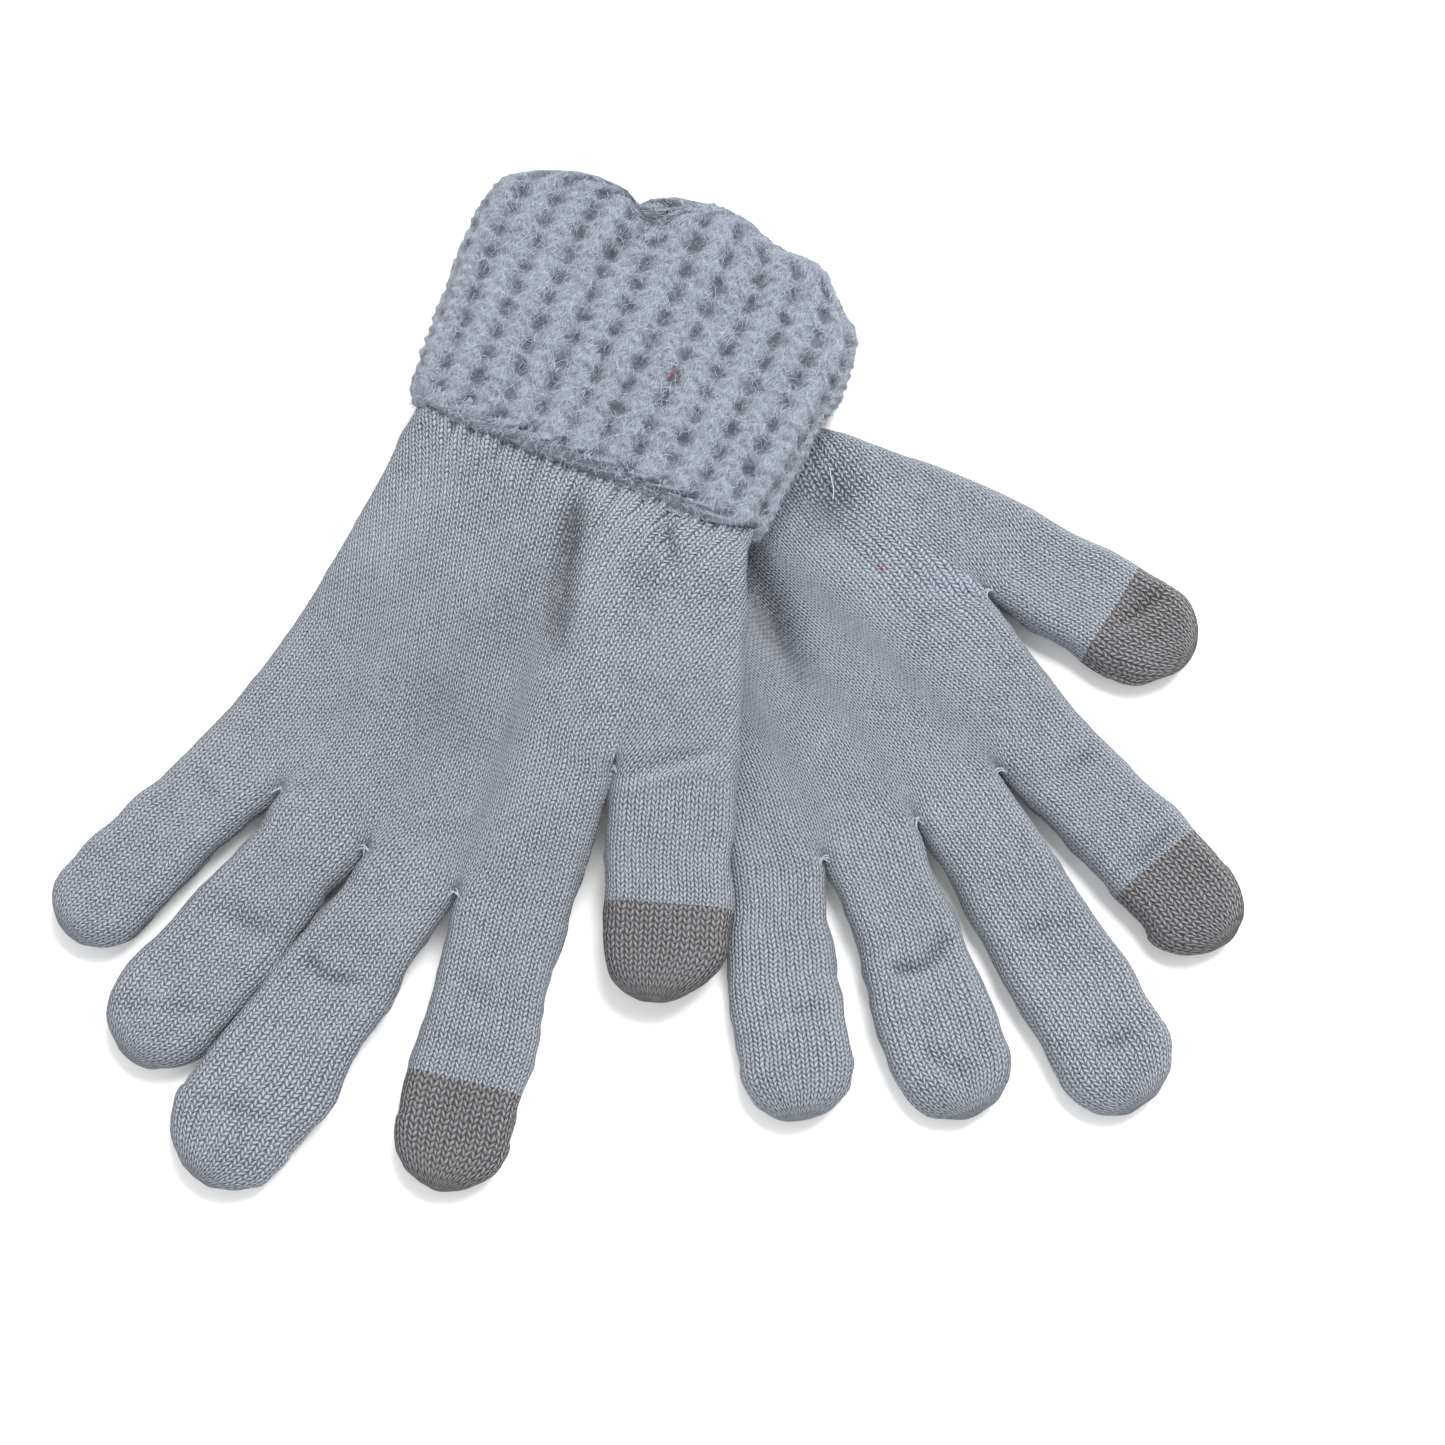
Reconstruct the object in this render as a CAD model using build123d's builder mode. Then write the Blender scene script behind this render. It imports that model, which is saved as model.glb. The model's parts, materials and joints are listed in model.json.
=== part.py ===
# A pair of knitted touchscreen gloves, laid one over the other on a table.
#
# Each glove is a flattened seamless tube of fine knit: a palm that splits into four finger stalls and a
# thumb stall.  The ends of the index finger and the thumb are knitted in conductive yarn.  At the wrist a
# narrower elastic rib is linked to a tube of chunky mesh knit, which runs up inside the cuff, folds
# outward at the mouth and comes back down over the wrist.
#
# Frame: millimetres, +Z up from the table, origin under the middle of the pair.  The fingers of both
# gloves point towards -Y.  In each glove's own plane x runs across towards the thumb, y runs up the arm,
# and y = 0 is the hem of the turned-back cuff.

from build123d import *

import os
from collections import namedtuple
from math import asin, atan2, cos, degrees, radians, sin

os.makedirs("parts", exist_ok=True)

# --- fabric thicknesses ---------------------------------------------------------------------------
KNIT_WALL = 1.6  # one layer of the fine knit
KNIT_CAVITY = 5.4  # free height inside the palm and the fingers
KNIT_EDGE = 2.4  # wall across the folded edge, where the fabric turns back on itself
KNIT_THICK = 2 * KNIT_WALL + KNIT_CAVITY
KNIT_ROUND = 3.8  # rounding of the two folded edges of a flattened tube
RIB_WALL = 1.2  # elastic wrist rib, stretched thinner than the palm
RIB_CAVITY = 5.2
RIB_THICK = 2 * RIB_WALL + RIB_CAVITY
MESH_OUTER = 2.1  # turned-back layer of the chunky cuff
MESH_INNER = 1.9  # inner layer of the chunky cuff
LAYER_GAP = 0.1  # between the two layers of the cuff
CUFF_CAVITY = 4.9
CUFF_THICK = 2 * (MESH_OUTER + MESH_INNER + LAYER_GAP) + CUFF_CAVITY

# --- lengths along the arm, from the hem of the turned-back cuff -----------------------------------
FOLD_DEPTH = 3.0  # the rolled rim at the mouth
RIM_ROUND = 1.8
SEAM_POSITION = 20.0  # where the mesh tube is linked to the rib
SEAM_THICK = 1.6
RIB_REACH = 1.0  # the rib comes this far out below the hem
RIB_WIDTH = 64.0
ELASTIC_COUNT = 4
ELASTIC_SPACING = 4.0
ELASTIC_THICK = 0.6
KNUCKLES = 94.0  # hem to the line of the finger roots

# --- fingers ------------------------------------------------------------------------------------
JOINT_GAP = 0.3  # free gap at a finger root, so that the finger folds without rubbing
ROOT_RELIEF = 0.6  # how far the palm is cut back beside each finger root
WEB_REACH = 1.2  # how far the palm stands out between two finger roots
TIP_BANDS = {"index": 22.0, "thumb": 20.0}  # length of the conductive ends

# A stall's root is the middle of its root line: x across, y up the arm, and turn in degrees from
# straight down the hand, positive towards the thumb.  Width is at the root line and at the shoulder.
# Heights are those of the stall's middle plane at the root and at the tip.
Stall = namedtuple("Stall", "x y turn length root_width width root_height tip_height")
# A cuff section is its distance from the hem and its two edges.  The palm's edges are given where it
# leaves the rib, and palm_side is the outer edge halfway down.
Glove = namedtuple(
    "Glove",
    "name wrist turn cuff_turn cuff_offset cuff_sections table_height knuckle_height "
    "palm_edges palm_side stalls",
)
FLAT = KNIT_THICK / 2  # middle height of a stall that lies on the table
ON_CUFF = CUFF_THICK + 0.4  # the upper glove's cuff lies on the lower one's

LOWER = Glove(
    name="lower",
    wrist=(15.8, 49.8),
    turn=22.0,
    cuff_turn=6.0,
    cuff_offset=-4.0,
    cuff_sections=((0.0, -37.0, 36.0), (48.0, -36.0, 35.0), (59.5, -31.0, 27.0)),
    table_height=0.0,
    knuckle_height=FLAT + 0.25,
    palm_edges=(-36.0, 34.0),
    palm_side=-36.5,
    stalls={
        "little": Stall(-26.6, -94.0, -16.5, 51.5, 20.0, 23.5, FLAT, FLAT),
        "ring": Stall(-4.9, -96.4, -3.5, 59.0, 20.4, 24.4, FLAT, FLAT),
        "middle": Stall(16.1, -94.0, 7.0, 73.0, 20.4, 25.0, FLAT, FLAT),
        "index": Stall(37.4, -88.0, 18.5, 56.5, 21.6, 22.8, FLAT, FLAT),
        "thumb": Stall(50.2, -47.5, 36.0, 42.5, 23.6, 25.2, FLAT + 1.2, FLAT),
    },
)
UPPER = Glove(
    name="upper",
    wrist=(-16.6, 39.3),
    turn=-25.7,
    cuff_turn=0.0,
    cuff_offset=0.0,
    cuff_sections=((0.0, -41.0, 42.5), (48.0, -48.0, 43.5), (59.5, -47.0, 40.5), (65.0, -39.5, 31.5)),
    table_height=ON_CUFF,
    knuckle_height=FLAT + 3.6,
    palm_edges=(-37.0, 40.5),
    palm_side=-38.2,
    stalls={
        "little": Stall(-36.4, -88.0, -18.5, 48.5, 20.0, 21.4, FLAT + 4.2, FLAT + 0.1),
        "ring": Stall(-13.6, -92.6, -12.5, 60.0, 20.4, 24.6, FLAT + 3.8, FLAT + 0.1),
        "middle": Stall(8.0, -94.6, -7.5, 73.0, 20.4, 27.0, FLAT + 3.4, FLAT + 0.1),
        "index": Stall(31.0, -91.0, 11.5, 58.0, 23.4, 24.2, FLAT + 3.8, FLAT + 0.1),
        "thumb": Stall(49.6, -52.4, 21.5, 45.5, 26.4, 26.0, FLAT + 10.0, FLAT + 2.6),
    },
)
FINGERS = ("little", "ring", "middle", "index")


def glove_plane(glove, height, pitch=0.0):
    """The glove's own plane at a height above the table, its fingers tipped down by pitch degrees."""
    across = Vector(1, 0, 0).rotate(Axis.Z, glove.turn)
    normal = Vector(0, 0, 1).rotate(Axis((0, 0, 0), across), pitch)
    return Plane(origin=(*glove.wrist, height), x_dir=across, z_dir=normal)


def wrist_height(glove):
    """Height of the middle plane of the wrist: the middle of the cuff."""
    return glove.table_height + CUFF_THICK / 2


def palm_plane(glove):
    """The palm's middle plane, which slopes from the wrist down to the knuckles."""
    drop = wrist_height(glove) - glove.knuckle_height
    return glove_plane(glove, wrist_height(glove), degrees(asin(drop / KNUCKLES)))


def cuff_plane(glove):
    """The cuff's level middle plane: x across, y up the arm from the hem."""
    level = glove_plane(glove, wrist_height(glove))
    origin = level.from_local_coords((glove.cuff_offset, 0, 0))
    across = level.x_dir.rotate(Axis.Z, glove.cuff_turn)
    return Plane(origin=origin, x_dir=across, z_dir=(0, 0, 1))


def stall_plane(glove, name):
    """A stall's middle plane at its root: x across towards the thumb, the stall lies towards -y."""
    stall = glove.stalls[name]
    level = glove_plane(glove, 0.0)
    across = Vector(1, 0, 0).rotate(Axis.Z, glove.turn + stall.turn)
    pitch = degrees(asin((stall.root_height - stall.tip_height) / stall.length))
    normal = Vector(0, 0, 1).rotate(Axis((0, 0, 0), across), pitch)
    origin = level.from_local_coords((stall.x, stall.y, stall.root_height))
    return Plane(origin=origin, x_dir=across, z_dir=normal)


def centred(plane, thickness):
    """The plane moved down by half a thickness, to extrude that thickness about the middle plane."""
    return plane.offset(-thickness / 2)


def stall_outline(stall, inset, start):
    """A stall seen from above: sides that widen a little from the root, and a round end."""
    root_half = stall.root_width / 2 - inset
    half = stall.width / 2 - inset
    shoulder = -(stall.length - inset - half)
    spread = (half - root_half) / stall.length
    for side in (1, -1):
        Spline(
            (side * root_half, start),
            (side * half, shoulder),
            tangents=((side * spread, -1), (0, -1)),
        )
    ThreePointArc((half, shoulder), (0, shoulder - half), (-half, shoulder))
    Line((-root_half, start), (root_half, start))


def root_end(glove, name, side, reach, inset=0.0):
    """One end of a stall's root line in the glove's plane, moved out along the stall by reach."""
    stall = glove.stalls[name]
    half = side * (stall.root_width / 2 - inset)
    turn = radians(stall.turn)
    x = stall.x + half * cos(turn) + reach * sin(turn)
    y = stall.y + half * sin(turn) - reach * cos(turn)
    return (x, y)


def down_stall(glove, name):
    """Unit direction of a stall in the glove's plane."""
    turn = radians(glove.stalls[name].turn)
    return (sin(turn), -cos(turn))


def palm_outline(glove, inset=0.0):
    """The palm seen from above: wrist, outer side, four finger roots, thumb web, thumb root, thumb side."""
    reach = WEB_REACH - inset
    left, right = glove.palm_edges
    wrist_left, wrist_right = (left + inset, 0), (right - inset, 0)
    side = (glove.palm_side + inset, -KNUCKLES / 2)
    little_out = root_end(glove, "little", -1, reach, inset)
    index_out = root_end(glove, "index", 1, reach, inset)
    thumb_in = root_end(glove, "thumb", -1, reach)
    thumb_out = root_end(glove, "thumb", 1, reach, inset)
    Spline(wrist_left, side, little_out, tangents=((-0.05, -1), down_stall(glove, "little")))
    corners = [little_out, root_end(glove, "little", 1, reach)]
    for name in ("ring", "middle"):
        corners.append(root_end(glove, name, -1, reach))
        corners.append(root_end(glove, name, 1, reach))
    corners.append(root_end(glove, "index", -1, reach))
    corners.append(index_out)
    Polyline(*corners)
    index_end = root_end(glove, "index", 1, WEB_REACH)
    thumb_end = root_end(glove, "thumb", -1, WEB_REACH)
    web = ((index_end[0] + thumb_end[0]) / 2 + 1.0 - inset, (index_end[1] + thumb_end[1]) / 2)
    Spline(index_out, web, thumb_in)
    Line(thumb_in, thumb_out)
    Spline(wrist_right, thumb_out, tangents=((0.5, -1), down_stall(glove, "thumb")))
    Line(wrist_left, wrist_right)


def build_palm(glove):
    """The palm: a flat pouch that opens into the wrist and into the five stalls."""
    plane = palm_plane(glove)
    cuff = cuff_plane(glove)
    with BuildPart() as palm:
        with BuildSketch(centred(plane, KNIT_THICK)):
            with BuildLine():
                palm_outline(glove)
            make_face()
        extrude(amount=KNIT_THICK)
        fillet(palm.edges().filter_by(GeomType.BSPLINE), radius=KNIT_ROUND)
        with BuildSketch(centred(plane, KNIT_CAVITY)):
            with BuildLine():
                palm_outline(glove, KNIT_EDGE)
            make_face()
        extrude(amount=KNIT_CAVITY, mode=Mode.SUBTRACT)
        # the wrist end stands square to the level rib
        with Locations(cuff.location * Location((0, -RIB_REACH, 0))):
            Box(
                3 * RIB_WIDTH,
                20,
                4 * KNIT_THICK,
                align=(Align.CENTER, Align.MIN, Align.CENTER),
                mode=Mode.SUBTRACT,
            )
        with Locations(cuff.location * Location((0, -10, -0.6))):
            Box(
                RIB_WIDTH - 2 * RIB_WALL - 6,
                20,
                KNIT_CAVITY - 0.8,
                align=(Align.CENTER, Align.MIN, Align.CENTER),
                mode=Mode.SUBTRACT,
            )
        for name, stall in glove.stalls.items():
            with Locations(stall_plane(glove, name).location):
                Box(
                    stall.root_width + 2 * ROOT_RELIEF,
                    8,
                    4 * KNIT_THICK,
                    align=(Align.CENTER, Align.MAX, Align.CENTER),
                    mode=Mode.SUBTRACT,
                )
                Box(
                    stall.root_width - 2 * KNIT_WALL,
                    10,
                    KNIT_CAVITY - 0.6,
                    align=(Align.CENTER, Align.CENTER, Align.CENTER),
                    mode=Mode.SUBTRACT,
                )
    return palm.part


def stall_cut(glove, name):
    """The plane where the conductive tip begins, facing the fingertip."""
    plane = stall_plane(glove, name)
    origin = plane.from_local_coords((0, TIP_BANDS[name] - glove.stalls[name].length, 0))
    return Plane(origin=origin, x_dir=plane.x_dir, z_dir=-plane.y_dir)


def build_stall(glove, name, keep=None):
    """A finger stall, open at its root.  keep takes one side of the line where the tip yarn begins."""
    plane = stall_plane(glove, name)
    stall = glove.stalls[name]
    with BuildPart() as finger:
        with BuildSketch(centred(plane, KNIT_THICK)):
            with BuildLine():
                stall_outline(stall, 0.0, -JOINT_GAP)
            make_face()
        extrude(amount=KNIT_THICK)
        curved = finger.edges().filter_by(GeomType.LINE, reverse=True)
        fillet(curved, radius=KNIT_ROUND)
        with BuildSketch(centred(plane, KNIT_CAVITY)):
            with BuildLine():
                stall_outline(stall, KNIT_WALL, 0.0)
            make_face()
        extrude(amount=KNIT_CAVITY, mode=Mode.SUBTRACT)
        if keep is not None:
            split(bisect_by=stall_cut(glove, name), keep=keep)
    return finger.part


def cross_plane(glove, y, x=0.0):
    """A plane across the cuff at x and y, facing up the arm; its own x runs away from the thumb."""
    cuff = cuff_plane(glove)
    origin = cuff.from_local_coords((x, y, 0))
    return Plane(origin=origin, x_dir=-cuff.x_dir, z_dir=cuff.y_dir)


def flat_tube_outline(width, thickness, mode=Mode.ADD):
    """The outline of a flattened tube, its folded edges round."""
    RectangleRounded(width, thickness, thickness / 2 - 0.3, mode=mode)


def cuff_edges(glove, y):
    """The cuff's two edges at a distance y from the hem, between the sections given."""
    for (y0, left0, right0), (y1, left1, right1) in zip(glove.cuff_sections, glove.cuff_sections[1:]):
        if y <= y1:
            share = (y - y0) / (y1 - y0)
            return (left0 + share * (left1 - left0), right0 + share * (right1 - right0))
    return glove.cuff_sections[-1][1:]


def cuff_space(glove, start, end, inset):
    """The solid inside the cuff's outside by inset, from start to end along the arm."""
    stops = [start]
    stops += [section[0] for section in glove.cuff_sections if start < section[0] < end]
    stops.append(end)
    with BuildPart() as space:
        for y in stops:
            left, right = cuff_edges(glove, y)
            with BuildSketch(cross_plane(glove, y, (left + right) / 2)):
                flat_tube_outline(right - left - 2 * inset, CUFF_THICK - 2 * inset)
        loft(ruled=True)
    return space.part


def build_rib(glove):
    """The elastic rib between the palm and the linking seam, inside the turned-back cuff."""
    with BuildPart() as rib:
        with BuildSketch(cross_plane(glove, -RIB_REACH)):
            flat_tube_outline(RIB_WIDTH, RIB_THICK)
            flat_tube_outline(RIB_WIDTH - 2 * RIB_WALL, RIB_CAVITY, Mode.SUBTRACT)
        extrude(amount=SEAM_POSITION + RIB_REACH)
    return rib.part


def build_elastic(glove):
    """Rings of covered elastic thread laid round the rib."""
    with BuildPart() as rings:
        for i in range(ELASTIC_COUNT):
            y = SEAM_POSITION - 3.0 - i * ELASTIC_SPACING
            clear = 0.1
            around = clear + 2 * ELASTIC_THICK
            with BuildSketch(cross_plane(glove, y)):
                flat_tube_outline(RIB_WIDTH + around, RIB_THICK + around)
                flat_tube_outline(RIB_WIDTH + clear, RIB_THICK + clear, Mode.SUBTRACT)
            extrude(amount=ELASTIC_THICK)
    return rings.part


def build_seam(glove):
    """The linking seam: a flange of doubled edge that joins the wide mesh tube to the narrow rib."""
    with BuildPart() as seam:
        add(cuff_space(glove, SEAM_POSITION, SEAM_POSITION + SEAM_THICK, MESH_OUTER + LAYER_GAP))
        with BuildSketch(cross_plane(glove, SEAM_POSITION)):
            flat_tube_outline(RIB_WIDTH - 2 * RIB_WALL, RIB_CAVITY)
        extrude(amount=SEAM_THICK, mode=Mode.SUBTRACT)
    return seam.part


def build_cuff_inner(glove):
    """The inner layer of the mesh cuff, from the linking seam up to the fold."""
    start = SEAM_POSITION + SEAM_THICK
    end = glove.cuff_sections[-1][0] - FOLD_DEPTH
    outside = MESH_OUTER + LAYER_GAP
    with BuildPart() as inner:
        add(cuff_space(glove, start, end, outside))
        add(cuff_space(glove, start, end, outside + MESH_INNER), mode=Mode.SUBTRACT)
    return inner.part


def build_cuff_outer(glove):
    """The turned-back layer: hem at the bottom, and at the mouth the rolled fold over the inner layer."""
    mouth = glove.cuff_sections[-1][0]
    fold = mouth - FOLD_DEPTH
    with BuildPart() as outer:
        add(cuff_space(glove, 0.0, mouth, 0.0))
        rim = outer.faces().sort_by(Axis(cuff_plane(glove).origin, cuff_plane(glove).y_dir))[-1]
        fillet(rim.edges(), radius=RIM_ROUND)
        add(cuff_space(glove, 0.0, fold, MESH_OUTER), mode=Mode.SUBTRACT)
        add(cuff_space(glove, fold, mouth, MESH_OUTER + LAYER_GAP + MESH_INNER), mode=Mode.SUBTRACT)
    return outer.part


def build_crotch_stitches(glove):
    """Closing stitches at the four crotches: one short bar of yarn over each, on the upper face."""
    plane = palm_plane(glove)
    ends = []
    for first, second in zip(FINGERS, FINGERS[1:]):
        ends.append((root_end(glove, first, 1, 0.0), root_end(glove, second, -1, 0.0)))
    thumb_in = root_end(glove, "thumb", -1, 0.0)
    index_out = root_end(glove, "index", 1, 0.0)
    ends.append((thumb_in, index_out))
    with BuildPart() as stitches:
        for (ax, ay), (bx, by) in ends:
            if (ax, ay) == thumb_in:
                middle = (ax - 3.0, ay + 0.5, KNIT_THICK / 2 + 0.05)
            else:
                middle = ((ax + bx) / 2, (ay + by) / 2 + 2.5, KNIT_THICK / 2 + 0.05)
            lie = degrees(atan2(by - ay, bx - ax))
            with Locations(plane.location * Location(middle, (0, 0, lie))):
                Box(5.0, 1.4, 0.7, align=(Align.CENTER, Align.CENTER, Align.MIN))
    return stitches.part


def glove_parts(glove):
    """Every piece of one glove, as node name and part."""
    parts = {
        "palm": build_palm(glove),
        "wrist_rib": build_rib(glove),
        "wrist_elastic": build_elastic(glove),
        "linking_seam": build_seam(glove),
        "cuff_inner": build_cuff_inner(glove),
        "cuff_turnback": build_cuff_outer(glove),
        "crotch_stitches": build_crotch_stitches(glove),
    }
    for name in glove.stalls:
        if name in TIP_BANDS:
            parts[f"{name}_stall"] = build_stall(glove, name, Keep.BOTTOM)
            parts[f"{name}_touch_tip"] = build_stall(glove, name, Keep.TOP)
        else:
            parts[f"{name}_stall"] = build_stall(glove, name)
    return parts


def main():
    for glove in (LOWER, UPPER):
        for name, part in glove_parts(glove).items():
            part.label = f"{glove.name}_{name}"
            export_step(part, f"parts/{part.label}.step")


main()
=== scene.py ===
"""Two knitted touchscreen gloves lying crosswise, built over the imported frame.

Each glove is worked out as one continuous knitted surface: columns are wales that run from the wrist
through the palm into the stalls, rows are courses.  The surface is then cut into the palm, the five
stalls and the two conductive tips; the palm and the tips ride on the frame's bodies.  The cuff is its
own closed surface with the relief of the chunky knit in the mesh, under a layer of loose fibres.  All
lengths in the shape code are millimetres; meshes are scaled to metres when they are made.
"""

import json
import math

import bpy
import numpy as np
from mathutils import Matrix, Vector


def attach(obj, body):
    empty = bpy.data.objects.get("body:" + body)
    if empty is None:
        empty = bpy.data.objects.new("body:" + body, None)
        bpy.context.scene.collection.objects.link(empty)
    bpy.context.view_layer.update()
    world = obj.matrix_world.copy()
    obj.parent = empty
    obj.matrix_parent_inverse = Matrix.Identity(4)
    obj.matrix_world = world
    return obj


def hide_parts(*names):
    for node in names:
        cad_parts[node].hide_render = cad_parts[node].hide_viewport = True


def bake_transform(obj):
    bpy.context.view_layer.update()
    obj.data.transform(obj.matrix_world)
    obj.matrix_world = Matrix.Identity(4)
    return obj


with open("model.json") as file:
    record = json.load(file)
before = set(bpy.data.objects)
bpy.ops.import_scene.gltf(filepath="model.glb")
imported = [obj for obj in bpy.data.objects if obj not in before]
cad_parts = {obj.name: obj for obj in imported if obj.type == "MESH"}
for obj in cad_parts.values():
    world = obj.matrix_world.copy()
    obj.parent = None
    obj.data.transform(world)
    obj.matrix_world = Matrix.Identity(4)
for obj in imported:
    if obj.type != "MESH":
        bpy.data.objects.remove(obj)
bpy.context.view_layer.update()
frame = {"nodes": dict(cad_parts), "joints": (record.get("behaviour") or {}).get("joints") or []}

scene = bpy.context.scene
MM = 1000.0

FINGERS = ("little", "ring", "middle", "index", "thumb")
TIP_BAND = {"index": 22.0, "thumb": 20.0}  # length of the ends in the other yarn
WALE = 1.62  # width of a stitch column in the fine knit
COURSE = 1.08  # height of its stitches
TIP_WALE = 1.95  # the same in the tips' coarser knit
TIP_COURSE = 1.32
MESH_COLUMN = 7.7  # from one column of openings to the next in the chunky knit
MESH_COURSE = 5.8
EDGE = 4.4  # how far in from a folded edge the fabric is rounded
STEP = 0.55  # mesh step across
ROW = 0.55  # mesh step along
CUFF_STEP = 0.45  # mesh step on the cuff
PALM = 93.0  # length of a palm
INSIDE = 8.0  # how far the palm is carried up inside the cuff
WRIST_SPREAD = 0.52  # share of the stitch columns that are seen across the narrow wrist
ROOT_RAMP = 3.2  # how far above a finger root the fabric parts into stalls
RIB_WIDTH, RIB_THICK, RIB_OUT = 64.0, 7.6, -1.0  # the rib inside the cuff, and where it comes out
ELASTIC_RINGS = (5.3, 9.3, 13.3, 17.3)  # places of the elastic threads up the rib
SEAM_START, SEAM_END = 20.0, 21.6  # where the rib is linked to the chunky cuff

THUMB_LEAN = {"upper": 0.42, "lower": 1.1}  # how the palm's thumb side leaves the wrist

# Places on a part are shares of its own size: how far along it, from the root of a finger, the wrist
# end of a palm or the hem of a cuff, and how far across it, from -1 to 1 towards the thumb.

# Valleys and ridges of the lying fabric: part, two ends, half width and height in mm
CREASES = {
    "upper": (
        ("palm", (0.06, 0.04), (0.24, 0.16), 2.6, -3.6),
        ("palm", (0.20, 0.14), (0.44, 0.33), 3.0, -2.8),
        ("palm", (0.03, 0.54), (0.13, 0.70), 1.5, -1.6),
        ("palm", (0.02, -0.45), (0.16, -0.55), 1.4, -0.8),
        ("palm", (0.02, -0.20), (0.14, -0.22), 1.2, -0.8),
        ("little", (0.12, -0.40), (0.20, 0.50), 2.0, -0.7),
        ("ring", (0.42, -0.50), (0.38, 0.85), 2.4, -1.2),
        ("ring", (0.90, -0.80), (0.72, 0.80), 1.8, -0.7),
        ("middle", (0.33, -0.75), (0.36, -0.20), 1.6, -1.5),
        ("middle", (0.36, -0.20), (0.31, 0.45), 1.6, -1.4),
        ("middle", (0.82, -0.65), (0.77, 0.55), 2.0, -0.9),
        ("index", (0.30, -0.80), (0.34, 0.80), 2.4, -0.5),
        ("index", (0.50, -0.70), (0.52, 0.60), 1.6, -0.4),
        ("thumb", (0.08, -0.95), (-0.08, 0.55), 2.0, 0.9),
        ("thumb", (0.00, -0.80), (-0.14, 0.60), 1.8, -1.0),
    ),
    "lower": (
        ("palm", (0.24, 0.12), (0.58, -0.02), 4.2, -4.0),
        ("palm", (0.30, 0.80), (0.45, 1.00), 2.2, -0.6),
        ("little", (0.59, -0.10), (0.57, 0.70), 1.8, -0.6),
        ("little", (0.65, -0.60), (0.63, 0.50), 1.6, 0.5),
        ("ring", (0.44, -0.60), (0.46, 0.05), 1.5, -1.9),
        ("ring", (0.46, 0.05), (0.39, 0.80), 1.5, -1.9),
        ("ring", (0.74, -0.50), (0.87, 0.00), 2.0, -1.1),
        ("middle", (0.42, -0.50), (0.44, 0.40), 1.8, -1.0),
        ("middle", (0.81, -0.25), (0.82, 0.55), 1.6, -1.2),
        ("index", (0.14, -0.40), (0.14, 0.55), 1.8, -1.1),
        ("index", (0.58, -0.50), (0.56, 0.65), 1.5, -1.7),
        ("thumb", (0.62, -0.20), (0.71, 0.85), 1.4, -1.7),
        ("thumb", (-0.28, -1.20), (-0.05, -1.00), 1.6, 0.6),
    ),
}
# Swells and hollows: part, centre, half size across, half size along and height in mm
SWELLS = {
    "upper": (
        ("palm", (0.20, 0.38), 6.0, 12.0, 1.3),
        ("palm", (0.20, 0.62), 6.0, 11.0, -0.9),
        ("palm", (0.38, 0.00), 6.5, 15.0, -1.4),
        ("palm", (0.66, -0.08), 13.0, 11.0, -1.1),
        ("palm", (0.38, -0.80), 8.0, 14.0, 1.1),
        ("palm", (0.16, -0.70), 6.0, 9.0, 0.9),
        ("palm", (0.08, -0.90), 5.0, 4.0, -0.8),
        ("ring", (0.82, -0.10), 4.0, 4.0, 0.6),
        ("middle", (0.89, -0.10), 5.0, 4.0, 0.5),
    ),
    "lower": (
        ("palm", (0.23, 0.95), 8.0, 7.0, -3.4),
        ("palm", (0.37, 0.40), 8.0, 4.5, 1.0),
        ("palm", (0.48, 0.80), 9.0, 8.0, 0.6),
        ("palm", (0.70, 0.00), 9.0, 14.0, 0.5),
        ("little", (0.45, 0.10), 6.0, 5.0, 0.4),
    ),
}
# The fold at the cuff's mouth: where it rises or sinks across the cuff, half width, height in mm
MOUTH = {
    "upper": (
        (-1.1, 0.25, -4.0), (-0.3, 0.12, -4.0), (0.12, 0.2, 4.5), (0.65, 0.2, 1.5), (1.1, 0.25, -5.0),
    ),
    "lower": ((0.5, 0.4, 3.5), (1.2, 0.3, -2.5)),
}
# Dents in the cuff: two ends, half width and height in mm
DENTS = {
    "upper": (((1.0, -0.25), (0.85, -0.28), 1.4, -3.2), ((0.85, -0.28), (0.68, -0.42), 1.9, -2.0)),
    "lower": (((1.0, 0.1), (0.8, 0.2), 2.4, -1.5),),
}
# Loose fibres: how many, shortest and longest, width and rise in mm
FIBRES = {
    "stall": (900, (1.0, 2.6), 0.05, 0.3),
    "palm": (5000, (1.0, 2.6), 0.05, 0.3),
    "cuff": (24500, (1.4, 3.8), 0.1, 0.5),
    "hem": (6000, (1.5, 3.5), 0.085, 0.7),
}
# Single stray fibres: what they lie on, where, half of their length in mm along and across, radius
STRAYS = {
    "upper": (("red_fibre", "cuff", (0.42, 0.27), (2.0, 0.5), 0.12),),
    "lower": (
        ("red_fibre", "palm", (0.45, 1.00), (1.0, 0.65), 0.12),
        ("pale_hair", "palm", (0.20, 1.03), (3.4, -1.2), 0.11),
    ),
}


# --- small helpers
def clamp(x):
    return np.clip(x, 0.0, 1.0)


def smooth(x):
    x = clamp(x)
    return x * x * (3 - 2 * x)


def edge_height(distance):
    q = 1 - clamp(distance / EDGE)
    return np.sqrt(np.maximum(0.0, 1 - q**2.2))


def unit(v):
    v = np.asarray(v, float)
    return v / np.linalg.norm(v, axis=-1, keepdims=True)


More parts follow.
